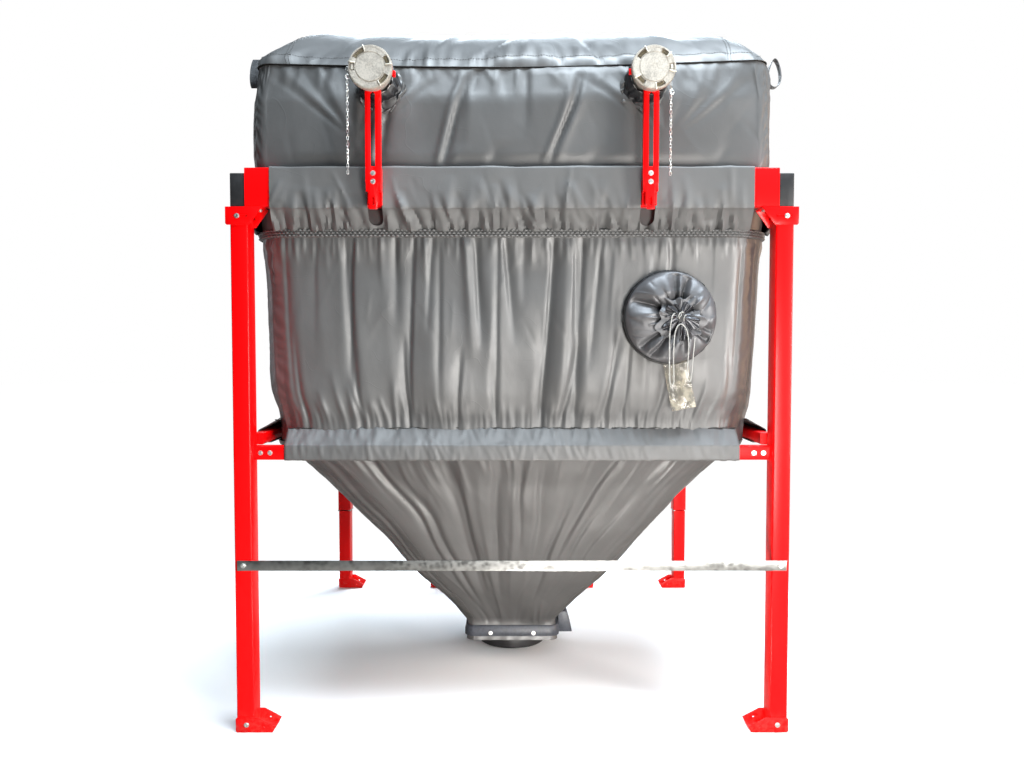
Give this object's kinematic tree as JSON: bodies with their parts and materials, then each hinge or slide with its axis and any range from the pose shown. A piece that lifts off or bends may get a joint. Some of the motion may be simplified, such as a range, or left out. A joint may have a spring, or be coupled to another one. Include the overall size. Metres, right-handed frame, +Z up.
{
  "type": "fabric pellet silo",
  "caption": "Square fabric bag silo with a sewn hopper, hung in a steel post frame, with capped filling pipes, a gathered inspection port and a bottom outlet.",
  "frame": {"origin": "on the ground, under the middle of the outline's box", "axes": "+Z up, +X to the right across the front, +Y from the front to the back"},
  "size_m": [1.93, 2.0114, 2.51],
  "materials": {
    "red_paint": "satin powder coat",
    "grey_cloth": "coated woven cloth, slight sheen",
    "black_cloth": "coated woven cloth",
    "dark_steel": "satin",
    "black_plastic": "matte",
    "bare_steel": "galvanised",
    "chain_steel": "zinc plated",
    "cast_metal": "cast, dull",
    "clear_film": "clear film",
    "cord": "braided",
    "webbing": "woven"
  },
  "bodies": {
    "root": {"post_front_left": "red_paint", "post_front_right": "red_paint", "post_rear_left": "red_paint", "post_rear_right": "red_paint", "foot_front_left": "red_paint", "foot_front_right": "red_paint", "foot_rear_left": "red_paint", "foot_rear_right": "red_paint", "rear_prop_left": "red_paint", "rear_prop_right": "red_paint", "corner_bracket_front_left": "red_paint", "corner_bracket_front_right": "red_paint", "corner_bracket_rear_left": "red_paint", "corner_bracket_rear_right": "red_paint", "upper_rail_front": "red_paint", "upper_rail_rear": "red_paint", "upper_rail_left": "red_paint", "upper_rail_right": "red_paint", "lower_rail_front": "red_paint", "lower_rail_rear": "red_paint", "lower_rail_left": "red_paint", "lower_rail_right": "red_paint", "upper_sleeve_front": "grey_cloth", "upper_sleeve_rear": "grey_cloth", "upper_sleeve_left": "grey_cloth", "upper_sleeve_right": "grey_cloth", "lower_sleeve_front": "grey_cloth", "lower_sleeve_rear": "grey_cloth", "lower_sleeve_left": "grey_cloth", "lower_sleeve_right": "grey_cloth", "tie_bar_front": "bare_steel", "bag_wall": "grey_cloth", "bag_top": "grey_cloth", "hopper": "grey_cloth", "outlet_clamp": "dark_steel", "outlet_plate": "dark_steel", "outlet_spout": "black_plastic", "hose_hood": "dark_steel", "fill_pipe_left": "cast_metal", "fill_pipe_right": "cast_metal", "fill_cap_left": "cast_metal", "fill_cap_right": "cast_metal", "fill_neck_left": "black_cloth", "fill_neck_right": "black_cloth", "fill_arm_left": "red_paint", "fill_arm_right": "red_paint", "chain_left": "chain_steel", "chain_right": "chain_steel", "port_rim": "black_cloth", "port_cover": "black_cloth", "document_pouch": "clear_film", "drawstring": "cord", "corner_loop_front_left": "webbing", "corner_loop_front_right": "webbing", "corner_loop_rear_left": "webbing", "corner_loop_rear_right": "webbing"}
  },
  "joints": []
}
